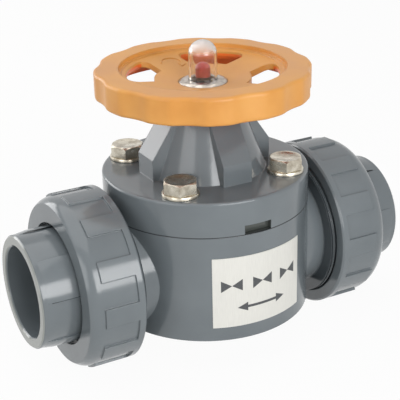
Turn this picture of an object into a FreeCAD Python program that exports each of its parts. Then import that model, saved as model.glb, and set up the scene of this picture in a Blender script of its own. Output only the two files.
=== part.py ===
import FreeCAD, Part
import os
import re
import Sketcher
from FreeCAD import Placement, Rotation, Vector

# Diaphragm valve with union ends for 50 mm pipe, half open.
# Origin: centre of the flat base. +X: flow axis, +Z: spindle axis. Millimetres.

os.makedirs("parts", exist_ok=True)
doc = FreeCAD.newDocument("DiaphragmValve")
sheet = doc.addObject("Spreadsheet::Sheet", "Sizes")
# Sizes of the valve in millimetres and degrees; the formulas follow from the plain numbers
sizes = {
    # Pipe line
    "axisHeight": 30,
    "boreRadius": 20,
    "socketRadius": 25.1,
    "socketDepth": 31,
    "lift": 20,

    # Body
    "bodyRadius": 57.5,
    "splitHeight": 61,
    "bodyWall": 5,
    "passageWall": 6,
    "deckThickness": 14,
    "ribThickness": 4.5,
    "neckWall": 13,
    "neckRadius": "=boreRadius + neckWall",
    "collarGap": 1,
    "collarLength": 20,
    "collarStart": "=bodyRadius + collarGap",
    "collarFace": "=collarStart + collarLength",
    "threadClearance": 0.1,
    "collarRadius": 40.75,
    "housingRadius": "=diaphragmRadius + 2",
    "housingFoot": 22,
    "weirPocketLength": 12,
    "weirPocketWidth": 15,
    "weirPocketTop": 29,
    "throatStart": 46,
    "weirHalf": 3.5,
    "throatWidth": 26,
    "throatRise": 14,
    "throatDrop": 6,
    "throatHeight": "=splitHeight - throatDrop",
    "bowlRim": "=membraneOuter + 1",
    "bowlRadius": "=(bowlRim ^ 2 + lift ^ 2) / (2 * lift)",
    "bowlCentre": "=splitHeight - lift + bowlRadius",
    "coreRadius": "=bodyRadius - bodyWall",
    "deckUnderside": "=splitHeight - deckThickness",
    "tubeRadius": "=boreRadius + passageWall",
    "halfRib": "=ribThickness / 2",
    "insertSpacing": 44.5,
    "insertRadius": 5.5,
    "insertLength": 12,
    "insertBore": 3.4,
    "insertWall": 3.5,
    "insertBoss": "=insertRadius + insertWall",
    "halfSpacing": "=insertSpacing / 2",
    "insertBossTop": "=insertLength + 10",

    # Diaphragm and its seat
    "lipMargin": 2.3,
    "lipWidth": 11,
    "diaphragmRadius": "=boltCircle - boltHole - lipMargin",
    "clampGap": 0.2,
    "seatRadius": "=diaphragmRadius + clampGap",
    "lipHalf": 2,
    "seatFloor": "=splitHeight - lipHalf",
    "seatRoof": "=splitHeight + lipHalf",
    "membraneLow": "=splitHeight - lift / 2",
    "membraneThickness": 3.5,
    "membraneTop": "=membraneLow + membraneThickness",
    "membraneInner": "=membraneOuter - 1.5",
    "membraneOuter": "=diaphragmRadius - lipWidth",
    "lowSag": "=seatFloor - membraneLow",
    "lowCurve": "=(membraneOuter ^ 2 + lowSag ^ 2) / (2 * lowSag)",
    "topSag": "=seatRoof - membraneTop",
    "topCurve": "=(membraneInner ^ 2 + topSag ^ 2) / (2 * topSag)",
    "studRadius": 4,
    "studPocket": 1,
    "studFoot": "=membraneTop - studPocket",
    "studLength": 12.5,
    "studTop": "=studFoot + studLength",

    # Bolts through bonnet and body
    "boltEdge": 11.7,
    "boltCircle": "=bodyRadius - boltEdge",
    "boltOffset": "=boltCircle * sqrt(0.5)",
    "boltRadius": 5,
    "boltHole": 5.5,
    "boltFlats": 17,
    "hexRadius": "=boltFlats / sqrt(3)",
    "headHeight": 6.4,
    "nutHeight": 8.4,
    "washerThickness": 2,
    "washerRadius": 10,
    "washerHole": 5.3,
    "bossRadius": 9.5,
    "bossFoot": 14,
    "smallWasher": 9,
    "boltPocket": 10,

    # Bonnet
    "flangeThickness": 19.5,
    "towerHeight": 33.5,
    "flangeTop": "=splitHeight + flangeThickness",
    "bonnetTop": "=flangeTop + towerHeight",
    "coneInset": 23.5,
    "ribInset": 21,
    "coneFoot": "=bodyRadius - coneInset",
    "coneTop": 21.4,
    "bonnetRib": 17.4,
    "bonnetRibReach": "=bodyRadius - ribInset",
    "shoulderRise": 11.5,
    "bonnetRibShoulder": "=flangeTop + shoulderRise",
    "bonnetRibTop": 21.2,
    "edgeRound": 1.4,
    "chamberRadius": "=membraneInner + 1.1",
    "chamberRise": 3.5,
    "chamberTop": "=flangeTop + chamberRise",
    "notchWidth": 16,
    "notchHeight": 5.2,
    "notchDepth": 3.5,
    "halfNotch": "=notchWidth / 2",
    "notchTop": "=splitHeight + notchHeight",
    "notchFloor": "=bodyRadius - notchDepth",

    # Stem nut held in the bonnet
    "runGap": 0.05,
    "bushWall": 4,
    "throatHole": "=stemRadius + bushWall",
    "shankRadius": "=throatHole - runGap",
    "flangeWidth": 4,
    "bearingLength": 13,
    "flangeHeight": 5,
    "nutFlange": "=throatHole + flangeWidth",
    "nutFlangeFoot": "=nutFlangeTop - flangeHeight",
    "nutFlangeTop": "=bonnetTop - bearingLength",
    "thrustThickness": 1,
    "shoulder": "=nutFlangeTop + thrustThickness",
    "slideThickness": 1.5,
    "hubFoot": "=bonnetTop + slideThickness",
    "washerClear": "=throatHole + 0.1",
    "slideRadius": "=hubRadius",
    "flangeRoom": "=nutFlange + 1",
    "flangeRoomFoot": "=nutFlangeFoot - 0.5",
    "driveHalf": "=stemRadius + 1.6",
    "driveGap": 0.1,
    "driveLength": 7.5,
    "driveTop": "=hubFoot + driveLength",
    "topThread": "=stemRadius + 2",
    "grooveDepth": 1.85,
    "grooveRise": 5,
    "grooveHeight": 2.2,
    "sealGroove": "=shankRadius - grooveDepth",
    "sealGrooveLow": "=shoulder + grooveRise",
    "sealGrooveHigh": "=sealGrooveLow + grooveHeight",
    "sealThick": 0.9,
    "sealHeight": "=(sealGrooveLow + sealGrooveHigh) / 2",
    "sealMiddle": "=shankRadius - sealThick",

    # Stem, compressor and indicator, at half lift
    "stemRadius": 7,
    "stemGap": 0.08,
    "stemBore": "=stemRadius + stemGap",
    "hubRise": 12.5,
    "stemFoot": "=pressHubFoot + 0.2",
    "stemThreadTop": "=bushTop - lift / 2 - 0.6",
    "rodRadius": 4.1,
    "rodLength": 14.4,
    "spigotLength": 5,
    "tipCrownHeight": 2.6,
    "tipCurve": "=(rodRadius ^ 2 + tipCrownHeight ^ 2) / (2 * tipCrownHeight)",
    "rodTop": "=stemThreadTop + rodLength",
    "tipTop": "=tipCrown + tipCrownHeight",
    "spigotRadius": 2,
    "spigotTop": "=rodTop + spigotLength",
    "tipCrown": "=spigotTop + 0.3",
    "pinRadius": 2.5,
    "pinHeight": "=pressHubFoot + 6",
    "pinHalf": "=pressHub - 0.5",
    "pressGap": 0.1,
    "pressFoot": "=membraneTop + pressGap",
    "pressRadius": "=bowlRim - 8",
    "pressCurve": "=bowlRadius - membraneThickness",
    "pressEdge": "=pressFoot + pressCurve - sqrt(pressCurve ^ 2 - pressRadius ^ 2)",
    "pressShoulder": "=pressEdge + 3",
    "pressHub": "=stemRadius + 4",
    "pressHubFoot": "=membraneTop + hubRise",
    "guideRise": 6.5,
    "guideThickness": 6.5,
    "guideLow": "=pressHubFoot + guideRise",
    "guideHigh": "=guideLow + guideThickness",
    "guideHalf": 4,
    "guideReach": "=chamberRadius + 2.4",
    "guideGap": 0.2,
    "slotHalf": "=guideHalf + guideGap",
    "slotReach": "=guideReach + guideGap",
    "slotTop": "=guideHigh + lift / 2 + guideGap * 2",

    # Handwheel
    "rimDrop": 6.8,
    "rimHeight": 15.1,
    "rimBottom": "=hubFoot + rimDrop",
    "rimTop": "=rimBottom + rimHeight",
    "rimOuterWall": 4.6,
    "rimRadius": "=channelOut + rimOuterWall",
    "fingerCount": 12,
    "fingerDepth": 1.6,
    "fingerRadius": 37,
    "fingerCentre": "=rimRadius - fingerDepth + fingerRadius",
    "fingerRound": 12,
    "rimRound": 1.9,
    "rimLip": "=rimInner + 1.6",
    "rimInner": 44,
    "rimLedge": "=rimTop - 2.5",
    "channelIn": "=rimInner + 3.2",
    "rimWidth": 10.4,
    "rimRoof": 3.4,
    "channelOut": "=rimInner + rimWidth",
    "channelTop": "=rimTop - rimRoof",
    "innerSkirt": "=rimBottom + 6.2",
    "rimRibFoot": "=innerSkirt + 0.3",
    "rimRibWidth": 1.8,
    "rimRibCount": 12,
    "rimRibIn": "=channelIn - 0.5",
    "rimRibOut": "=channelOut + 0.5",
    "rimRibTop": "=channelTop + 0.5",
    "hubRadius": "=throatHole + 6",
    "hubTop": "=driveTop + 5.6",
    "webTop": "=hubTop + 5.8",
    "webThickness": 3.2,
    "webEdge": "=rimInner + 1",
    "webLow": "=webTop - webThickness",
    "hubLow": "=hubTop - webThickness",
    "counterbore": "=ringRadius + 0.2",
    "spokeHalf": 10.2,
    "windowInner": 26.4,
    "windowOuter": "=rimInner - 2.4",
    "windowNear": "=sqrt(windowInner ^ 2 - spokeHalf ^ 2)",
    "windowFar": "=sqrt(windowOuter ^ 2 - spokeHalf ^ 2)",
    "windowRound": 4.5,
    "windowCorner": 1.5,
    "wheelTurn": 9,
    "fingerTurn": "=wheelTurn + 180 / fingerCount",

    # Hub nut, clear cap and the bright ring that holds it
    "hubWasherTop": "=driveTop + 1.2",
    "hubNutTop": "=hubWasherTop + 3.5",
    "hubNutRadius": "=topThread + 3.5",
    "hubNutBore": "=topThread + runGap",
    "hubSlot": 1.3,
    "hubSlotFloor": "=hubNutRadius - 1.9",
    "bushTop": "=hubNutTop - 0.1",
    "capRadius": "=topThread - 1.1",
    "capFoot": "=capRadius + 1.3",
    "capFootTop": "=hubNutTop + 1",
    "capWall": 1.2,
    "capInner": "=capRadius - capWall",
    "tipRoom": 1,
    "capShoulder": "=tipTop + lift / 2 + tipRoom + capWall - capRadius",
    "capTop": "=capShoulder + capRadius",
    "capRoof": "=capTop - capWall",
    "ringGap": 0.1,
    "ringSkirt": "=hubNutTop - 2.2",
    "ringRadius": "=hubNutRadius + 0.8",
    "ringEdge": "=hubNutTop + 1",
    "ringCrown": "=capRadius + 1.7",
    "ringTop": "=ringEdge + 1.3",
    "ringBend": 5,
    "ringHole": "=capRadius + ringGap",
    "ringNutHole": "=hubNutRadius + ringGap",
    "ringFootHole": "=capFoot + ringGap",
    "ringFootTop": "=capFootTop + ringGap",

    # Union nuts and end connectors, measured outwards along the flow axis
    "connectorLength": 34,
    "connectorEnd": "=collarFace + connectorLength",
    "connectorRadius": "=socketRadius + 6.1",
    "connectorStop": "=connectorEnd - socketDepth",
    "connectorFlange": "=collarRadius - 2.75",
    "nutLength": 30.7,
    "nutInnerFace": "=collarStart + 3.2",
    "nutOuterFace": "=nutInnerFace + nutLength",
    "nutLip": 6,
    "nutShoulder": "=nutOuterFace - nutLip",
    "nutHole": "=connectorRadius + 2.8",
    "nutWall": 7.65,
    "nutRadius": "=nutBore + nutWall",
    "nutFaceRadius": "=nutRadius - 4.2",
    "nutBend": 10.6,
    "nutBore": "=collarRadius + threadClearance",
    "nutCavity": "=connectorFlange + 0.3",
    "nutBoreEnd": "=collarFace + 1",
    "nutChamfer": 1,
    "nutMouth": "=nutBore + nutChamfer",
    "nutChamferEnd": "=nutInnerFace + nutChamfer",
    "nutEdge": "=nutRadius - nutChamfer",
    "gripStart": "=nutInnerFace + 4.3",
    "gripLength": 19,
    "gripEnd": "=gripStart + gripLength",
    "gripFloor": "=nutRadius - 1.2",
    "gripSpan": 17,
    "gripCount": 12,
    "gripClear": "=nutRadius + 2",
    "padEnd": "=connectorEnd - 4",
    "padFade": "=padEnd - 9",
    "padHeight": 0.7,
    "padRadius": "=connectorRadius + padHeight",
    "padRoot": "=connectorRadius - padHeight",
    "padSpan": 42,
    "padCount": 4,
    "inletNutTurn": 4.5,
    "outletNutTurn": 5.6,
    "inletEndTurn": 11,
    "outletEndTurn": -17.5,
    "endChamfer": 1,
    "chamferStart": "=connectorEnd - endChamfer",
    "chamferRadius": "=connectorRadius - endChamfer",
    "mouthRadius": "=socketRadius + endChamfer",
    "ringMiddle": "=(boreRadius + connectorFlange) / 2 + 2",
    "ringThick": 1.45,
    "ringIn": "=ringMiddle - ringThick - 0.3",
    "ringOut": "=ringMiddle + ringThick + 0.3",
    "ringFloor": "=collarFace - 2 * ringThick",
    "ringCentre": "=collarFace - ringThick",

    # Label
    "labelThickness": 0.3,
    "labelSeat": "=bodyRadius + 0.04",
    "labelRadius": "=labelSeat + labelThickness",
    "labelLow": 8,
    "labelHigh": "=splitHeight - 12",
    "labelSpan": 56.6,
    "labelTurn": -116,
}

for row, name in enumerate(sizes, 1):
    sheet.set(f"A{row}", name)
    sheet.setAlias(f"B{row}", name)
for row, value in enumerate(sizes.values(), 1):
    sheet.set(f"B{row}", str(value))
doc.recompute()
kept = []


def number(text):
    """Value of a named size, of a plain number, or of either with a minus sign."""
    if text.startswith("-"):
        return -number(text[1:])
    return float(getattr(sheet, text)) if text in sizes else float(text)


def link(text):
    """Point each size named in an expression at the sheet."""
    return re.sub(r"[A-Za-z]\w*", lambda word: "Sizes." + word[0] if word[0] in sizes else word[0], text)


def bind(item, **sizes):
    for key, text in sizes.items():
        item.setExpression(key.replace("_", "."), link(text))
    return item


def start_value(text):
    """Value of a size, or 0 for a formula that only the sheet works out."""
    return number(text) if re.fullmatch(r"-?[\w.]+", text) else 0.0


def place(item, rotation=Rotation(), x="0", y="0", z="0"):
    """Turn an object and tie its position to the sheet."""
    item.Placement = Placement(Vector(start_value(x), start_value(y), start_value(z)), rotation)
    return bind(item, Placement_Base_x=x, Placement_Base_y=y, Placement_Base_z=z)


def keep(item, label):
    """Name an object as one finished piece."""
    item.Label = label
    kept.append(item)
    return item


AROUND = {"x": Rotation(Vector(0, 1, 0), 90), "z": Rotation()}


def cylinder(name, radius, low, high, axis="z", x="0", y="0", z="0"):
    """Cylinder along one axis from low to high, its axis through the given point."""
    item = doc.addObject("Part::Cylinder", name)
    bind(item, Radius=radius, Height=f"({high}) - ({low})")
    spot = {"x": x, "y": y, "z": z}
    spot[axis] = low
    return place(item, AROUND[axis], **spot)


def box(name, x0, x1, y0, y1, z0, z1):
    item = doc.addObject("Part::Box", name)
    bind(item, Length=f"({x1}) - ({x0})", Width=f"({y1}) - ({y0})", Height=f"({z1}) - ({z0})")
    return place(item, x=x0, y=y0, z=z0)


def hexagon(name, low, high, x, y):
    item = doc.addObject("Part::Prism", name)
    item.Polygon = 6
    bind(item, Circumradius="hexRadius", Height=f"({high}) - ({low})")
    return place(item, x=x, y=y, z=low)


def ring(name, middle, thick, axis, along):
    """Round-section ring about an axis."""
    item = doc.addObject("Part::Torus", name)
    bind(item, Radius1=middle, Radius2=thick)
    spot = {"x": "0", "y": "0", "z": "axisHeight"}
    spot[axis] = along
    return place(item, AROUND[axis], **spot)


def fuse(name, *items):
    item = doc.addObject("Part::MultiFuse", name)
    item.Shapes = list(items)
    item.Refine = True
    return item


def cut(name, base, *tools):
    item = doc.addObject("Part::Cut", name)
    item.Base = base
    item.Tool = tools[0] if len(tools) == 1 else fuse(name + "Tool", *tools)
    item.Refine = True
    return item


def common(name, base, tool):
    item = doc.addObject("Part::Common", name)
    item.Base = base
    item.Tool = tool
    return item


def plane(body, role):
    return [(next(f for f in body.Origin.OriginFeatures if f.Role == role), "")]


def drawn(body, name, points, role="XZ_Plane"):
    """Closed sketch whose corners are sizes; a third entry bends the run to that corner."""
    sketch = body.newObject("Sketcher::SketchObject", name)
    sketch.AttachmentSupport = plane(body, role)
    sketch.MapMode = "FlatFace"
    spots = [Vector(number(p[0]), number(p[1]), 0) for p in points]
    for index, point in enumerate(points):
        start, end = spots[index - 1], spots[index]
        if len(point) == 2:
            sketch.addGeometry(Part.LineSegment(start, end))
            continue
        radius = number(point[2])
        half = (end - start) / 2
        rise = (radius ** 2 - half.Length ** 2) ** 0.5
        side = Vector(-half.y, half.x, 0).normalize() * (-1 if radius < 0 else 1)
        centre = start + half + side * rise
        bulge = centre - side * abs(radius)
        ends = (start, end) if radius > 0 else (end, start)
        sketch.addGeometry(Part.Arc(ends[0], bulge, ends[1]))
    rules = []
    for index, point in enumerate(points):
        follower = (index + 1) % len(points)
        corner = edge_end(sketch, index, spots[index])
        rules.append(Sketcher.Constraint("Coincident", index, corner, follower,
                                         edge_end(sketch, follower, spots[index])))
    sketch.addConstraint(rules)
    for index, point in enumerate(points):
        corner = edge_end(sketch, index, spots[index])
        for kind, text in (("DistanceX", point[0]), ("DistanceY", point[1])):
            rule = sketch.addConstraint(
                Sketcher.Constraint(kind, -1, 1, index, corner, number(text)))
            if re.search(r"[A-Za-z]", text):
                sketch.setExpression(f"Constraints[{rule}]", link(text))
        if len(point) == 3:
            bend = point[2].lstrip("-")
            rule = sketch.addConstraint(Sketcher.Constraint("Radius", index, number(bend)))
            sketch.setExpression(f"Constraints[{rule}]", link(bend))
    return sketch


def edge_end(sketch, index, spot):
    """Which end of a drawn edge, 1 or 2, lies on a spot."""
    shape = sketch.Geometry[index]
    return 1 if (shape.StartPoint - spot).Length < (shape.EndPoint - spot).Length else 2


def feature(body, kind, name, sketch, axis=None, **sizes):
    item = body.newObject("PartDesign::" + kind, name)
    item.Profile = (sketch, [""])
    if axis:
        item.ReferenceAxis = (sketch, [axis])
    return bind(item, **sizes)


def turned(name, points, axis="z"):
    """Solid of revolution: points are (radius, height), or (distance, radius) about X."""
    body = doc.addObject("PartDesign::Body", name)
    sketch = drawn(body, name + "Outline", points)
    feature(body, "Revolution", name + "Turn", sketch, "V_Axis" if axis == "z" else "H_Axis")
    return body


def repeated(body, name, original, sketch, axis, count):
    """Polar pattern of one feature about a sketch axis."""
    pattern = body.newObject("PartDesign::PolarPattern", name)
    pattern.Originals = [original]
    pattern.Axis = (sketch, [axis])
    pattern.Angle = 360
    bind(pattern, Occurrences=count)
    body.Tip = pattern
    return pattern


def rounded(body, name, base, radius, wanted):
    """Fillet the edges of a feature that a test picks."""
    doc.recompute()
    edges = [f"Edge{i + 1}" for i, edge in enumerate(base.Shape.Edges) if wanted(edge)]
    fillet = body.newObject("PartDesign::Fillet", name)
    fillet.Base = (base, edges)
    bind(fillet, Radius=radius)
    return fillet


def upright(edge):
    return abs(edge.tangentAt(edge.FirstParameter).z) > 0.999


# Body: drum, two necks with threaded collars, weir passage, cored underside

drum = cylinder("drum", "bodyRadius", "0", "splitHeight")
neck = cylinder("neck", "neckRadius", "-collarStart", "collarStart", "x", z="axisHeight")
collars = [cylinder("collar", "collarRadius", low, high, "x", z="axisHeight")
           for low, high in (("collarStart", "collarFace"), ("-collarFace", "-collarStart"))]


def throat(name, side):
    """One side of the passage: round at the neck, oval and wide where it meets the weir."""
    upright_plane = Rotation(Vector(1, 1, 1), 120)
    round_end = bind(doc.addObject("Part::Circle", name + "Round"), Radius="boreRadius")
    place(round_end, upright_plane, x=side + "throatStart", z="axisHeight")
    oval = doc.addObject("Part::Ellipse", name + "Oval")
    bind(oval, MajorRadius="throatWidth", MinorRadius="throatRise")
    place(oval, upright_plane, x=side + "weirHalf", z="throatHeight")
    loft = doc.addObject("Part::Loft", name)
    loft.Sections = [round_end, oval]
    loft.Solid = True
    loft.Ruled = True
    return loft


tube = cylinder("tube", "tubeRadius", "-collarStart", "collarStart", "x", z="axisHeight")
housing = cylinder("housing", "housingRadius", "housingFoot", "splitHeight")
corners = [(x, y) for x in ("boltOffset", "-boltOffset") for y in ("boltOffset", "-boltOffset")]
bosses = [cylinder("boss", "bossRadius", "bossFoot", "splitHeight", x=x, y=y) for x, y in corners]
ribs = [box("ribAlong", "-bodyRadius", "bodyRadius", "-halfRib", "halfRib", "0", "splitHeight"),
        box("ribAcross", "-halfRib", "halfRib", "-bodyRadius", "bodyRadius", "0", "splitHeight")]
insert_bosses = [cylinder("insertBossCore", "insertBoss", "0", "insertBossTop", x=x)
                 for x in ("halfSpacing", "-halfSpacing")]
core = cylinder("core", "coreRadius", "0", "deckUnderside")
hollow = cut("hollow", core, tube, housing, *bosses, *ribs, *insert_bosses)
weir_pockets = [box("weirPocket", x0, x1, "-weirPocketWidth", "weirPocketWidth", "0", "weirPocketTop")
                for x0, x1 in (("halfRib", "weirPocketLength"), ("-weirPocketLength", "-halfRib"))]

passage = [throat("passage", side) for side in ("", "-")]
bores = [cylinder("bore", "boreRadius", low, high, "x", z="axisHeight")
         for low, high in (("throatStart", "collarFace"), ("-collarFace", "-throatStart"))]
bowl = doc.addObject("Part::Sphere", "bowl")
place(bind(bowl, Radius="bowlRadius"), z="bowlCentre")
seat = cylinder("seat", "seatRadius", "seatFloor", "splitHeight")
bolt_holes = [cylinder("boltHole", "boltHole", "0", "splitHeight", x=x, y=y) for x, y in corners]
bolt_pockets = [cylinder("boltPocket", "boltPocket", "0", "bossFoot", x=x, y=y) for x, y in corners]
insert_holes = [cylinder("insertHole", "insertRadius", "0", "insertLength", x=x)
                for x in ("halfSpacing", "-halfSpacing")]
grooves = []
for low, high in (("ringFloor", "collarFace"), ("-collarFace", "-ringFloor")):
    grooves.append(cut("sealGroove", cylinder("grooveOut", "ringOut", low, high, "x", z="axisHeight"),
                       cylinder("grooveIn", "ringIn", low, high, "x", z="axisHeight")))
below_base = cylinder("belowBase", "bodyRadius", "-collarRadius", "0")
above_split = cylinder("aboveSplit", "bodyRadius", "splitHeight", "splitHeight + collarRadius")
block = cut("block", fuse("drumAndNecks", drum, neck, *collars), below_base, above_split)
keep(cut("valveBody", block, hollow, *weir_pockets, *passage, *bores, bowl, seat, *bolt_holes,
         *bolt_pockets, *insert_holes, *grooves), "valve_body")
inserts = [cut("insert", cylinder("insertOut", "insertRadius", "0", "insertLength", x=x),
               cylinder("insertIn", "insertBore", "0", "insertLength", x=x))
           for x in ("halfSpacing", "-halfSpacing")]
keep(fuse("bracketInserts", *inserts), "bracket_inserts")

# Diaphragm, clamped by its lip and half drawn down towards the weir

keep(turned("diaphragm", [
    ("0", "membraneLow"),
    ("membraneOuter", "seatFloor", "lowCurve"),
    ("diaphragmRadius", "seatFloor"),
    ("diaphragmRadius", "seatRoof"),
    ("membraneInner", "seatRoof"),
    ("studRadius", "membraneTop", "-topCurve"),
    ("studRadius", "studFoot"),
    ("0", "studFoot")]), "diaphragm")
keep(cylinder("diaphragmStud", "studRadius", "studFoot", "studTop"), "diaphragm_stud")

# Compressor: domed plate on a hub, with a bar that slides in two slots of the bonnet

plate = turned("pressPlate", [
    ("0", "pressFoot"),
    ("pressRadius", "pressEdge", "pressCurve"),
    ("pressRadius", "pressShoulder"),
    ("pressHub", "pressHubFoot"),
    ("pressHub", "guideHigh"),
    ("0", "guideHigh")])
guide = box("guide", "-guideHalf", "guideHalf", "-guideReach", "guideReach", "guideLow", "guideHigh")
webs = [box("pressWeb", "-halfRib", "halfRib", "-pressRadius + 2", "pressRadius - 2", "pressEdge",
            "guideLow"),
        box("pressWebAcross", "-pressRadius + 2", "pressRadius - 2", "-halfRib", "halfRib",
            "pressEdge", "guideLow - 4")]
keep(cut("compressor", fuse("pressBlock", plate, guide, *webs),
         cylinder("pressStud", "studRadius + stemGap", "membraneTop", "pressHubFoot"),
         cylinder("pressBore", "stemBore", "pressHubFoot", "guideHigh"),
         cylinder("pressPin", "pinRadius", "-pinHalf - 1", "pinHalf + 1", "x", z="pinHeight")),
     "compressor")

# Stem and the mark that shows its height

stem_block = turned("stemBlock", [
    ("0", "stemFoot"),
    ("stemRadius", "stemFoot"),
    ("stemRadius", "stemThreadTop"),
    ("rodRadius", "stemThreadTop"),
    ("rodRadius", "rodTop"),
    ("spigotRadius", "rodTop"),
    ("spigotRadius", "spigotTop"),
    ("0", "spigotTop")])
keep(cut("stem", stem_block,
         cylinder("stemPinHole", "pinRadius", "-stemRadius - 1", "stemRadius + 1", "x", z="pinHeight")),
     "stem")
keep(cylinder("stemPin", "pinRadius", "-pinHalf", "pinHalf", "x", z="pinHeight"), "stem_pin")
keep(turned("indicatorTip", [
    ("spigotRadius", "rodTop"),
    ("rodRadius", "rodTop"),
    ("rodRadius", "tipCrown"),
    ("0", "tipTop", "tipCurve"),
    ("0", "spigotTop"),
    ("spigotRadius", "spigotTop")]), "indicator_tip")

# Bonnet: flange, fluted tower between four ribs, chamber and stem nut bearing

flange_body = doc.addObject("PartDesign::Body", "flange")
flange_sketch = drawn(flange_body, "flangeOutline", [
    ("0", "splitHeight"), ("bodyRadius", "splitHeight"), ("bodyRadius", "flangeTop"), ("0", "flangeTop")])
flange_turn = feature(flange_body, "Revolution", "flangeTurn", flange_sketch, "V_Axis")
rounded(flange_body, "flangeRound", flange_turn, "edgeRound",
        lambda edge: edge.BoundBox.ZMin > number("flangeTop") - 1 and edge.Length > 3 * number("bodyRadius"))
tower = bind(doc.addObject("Part::Cone", "tower"), Radius1="coneFoot", Radius2="coneTop",
             Height="bonnetTop - flangeTop")
place(tower, z="flangeTop")


def rib_pair(name, turn):
    """Two opposite ribs, one profile padded to both sides of its plane."""
    body = doc.addObject("PartDesign::Body", name)
    sketch = drawn(body, name + "Outline", [
        ("-bonnetRibReach", "flangeTop"),
        ("bonnetRibReach", "flangeTop"),
        ("bonnetRibReach", "bonnetRibShoulder"),
        ("bonnetRibTop", "bonnetTop"),
        ("-bonnetRibTop", "bonnetTop"),
        ("-bonnetRibReach", "bonnetRibShoulder")])
    pad = feature(body, "Pad", name + "Pad", sketch, Length="bonnetRib")
    pad.Midplane = True
    body.Placement = Placement(Vector(), Rotation(Vector(0, 0, 1), turn))
    return body


bonnet_block = fuse("bonnetBlock", flange_body, tower, rib_pair("ribsAlong", 0), rib_pair("ribsAcross", 90))
chamber = turned("chamber", [
    ("0", "splitHeight"),
    ("seatRadius", "splitHeight"),
    ("seatRadius", "seatRoof"),
    ("chamberRadius", "seatRoof"),
    ("chamberRadius", "chamberTop"),
    ("flangeRoom", "flangeRoomFoot"),
    ("flangeRoom", "shoulder"),
    ("throatHole", "shoulder"),
    ("throatHole", "bonnetTop"),
    ("0", "bonnetTop")])
slot = box("slot", "-slotHalf", "slotHalf", "-slotReach", "slotReach", "splitHeight", "slotTop")
bonnet_holes = [cylinder("bonnetHole", "boltHole", "splitHeight", "flangeTop", x=x, y=y)
                for x, y in corners]
notches = [box("notch", "-halfNotch", "halfNotch", low, high, "splitHeight", "notchTop")
           for low, high in (("-bodyRadius", "-notchFloor"), ("notchFloor", "bodyRadius"))]
keep(cut("bonnet", bonnet_block, chamber, slot, *bonnet_holes, *notches), "bonnet")

# Bolts, washers and nuts

bolts, top_washers, base_washers, nuts = [], [], [], []
for x, y in corners:
    head = hexagon("head", "flangeTop + washerThickness", "flangeTop + washerThickness + headHeight", x, y)
    shank = cylinder("shank", "boltRadius", "bossFoot - washerThickness - nutHeight - 1",
                     "flangeTop + washerThickness", x=x, y=y)
    bolts.append(fuse("bolt", head, shank))
    for low, high, wide, pile in (
            ("flangeTop", "flangeTop + washerThickness", "washerRadius", top_washers),
            ("bossFoot - washerThickness", "bossFoot", "smallWasher", base_washers)):
        pile.append(cut("washer", cylinder("washerDisc", wide, low, high, x=x, y=y),
                        cylinder("washerBore", "washerHole", low, high, x=x, y=y)))
    nut_low, nut_high = "bossFoot - washerThickness - nutHeight", "bossFoot - washerThickness"
    nuts.append(cut("nut", hexagon("nutBlock", nut_low, nut_high, x, y),
                    cylinder("nutThread", "boltRadius + runGap", nut_low, nut_high, x=x, y=y)))
for name, pile, label in (("bolts", bolts, "bonnet_bolts"), ("topWashers", top_washers, "bolt_washers"),
                          ("baseWashers", base_washers, "base_washers"), ("boltNuts", nuts, "bolt_nuts")):
    keep(fuse(name, *pile), label)

# Stem nut: brass bush that the handwheel turns

bush_lower = turned("bushLower", [
    ("0", "nutFlangeFoot"),
    ("nutFlange", "nutFlangeFoot"),
    ("nutFlange", "nutFlangeTop"),
    ("shankRadius", "nutFlangeTop"),
    ("shankRadius", "sealGrooveLow"),
    ("sealGroove", "sealGrooveLow"),
    ("sealGroove", "sealGrooveHigh"),
    ("shankRadius", "sealGrooveHigh"),
    ("shankRadius", "hubFoot"),
    ("0", "hubFoot")])


def two_flats(name, radius, half, low, high):
    """Round bar with two flats."""
    return common(name, cylinder(name + "Bar", radius, low, high),
                  box(name + "Flats", f"-({radius})", radius, f"-({half})", half, low, high))


drive = two_flats("drive", "shankRadius", "driveHalf", "hubFoot", "driveTop")
bush_top = cylinder("bushTopThread", "topThread", "driveTop", "bushTop")
keep(cut("stemNut", fuse("bushBlock", bush_lower, drive, bush_top),
         cylinder("bushBore", "stemBore", "nutFlangeFoot", "bushTop")), "stem_nut")
keep(ring("bushSeal", "sealMiddle", "sealThick", "z", "sealHeight"), "bush_seal")
for name, inner, outer, low, high, label in (
        ("thrustWasher", "washerClear", "nutFlange", "nutFlangeTop", "shoulder", "thrust_washer"),
        ("slideWasher", "washerClear", "slideRadius", "bonnetTop", "hubFoot", "slide_washer"),
        ("hubWasher", "hubNutBore", "hubNutRadius", "driveTop", "hubWasherTop", "hub_washer")):
    keep(cut(name, cylinder(name + "Disc", outer, low, high), cylinder(name + "Bore", inner, low, high)),
         label)

# Handwheel: hollow rim with twelve finger hollows, dished web with four windows, hub


def rim_cylinder(kind, name, radius, centre):
    """Full-height cylinder added to the rim or taken from it, its axis at a distance along X."""
    item = rim.newObject("PartDesign::" + kind, name)
    bind(item, Radius=radius, Height="rimTop - rimBottom")
    item.AttachmentOffset = Placement(Vector(number(centre), 0, number("rimBottom")), Rotation())
    item.setExpression("AttachmentOffset.Base.x", link(centre))
    item.setExpression("AttachmentOffset.Base.z", link("rimBottom"))
    item.AttachmentSupport = plane(rim, "XY_Plane")
    item.MapMode = "FlatFace"
    return item


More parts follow.
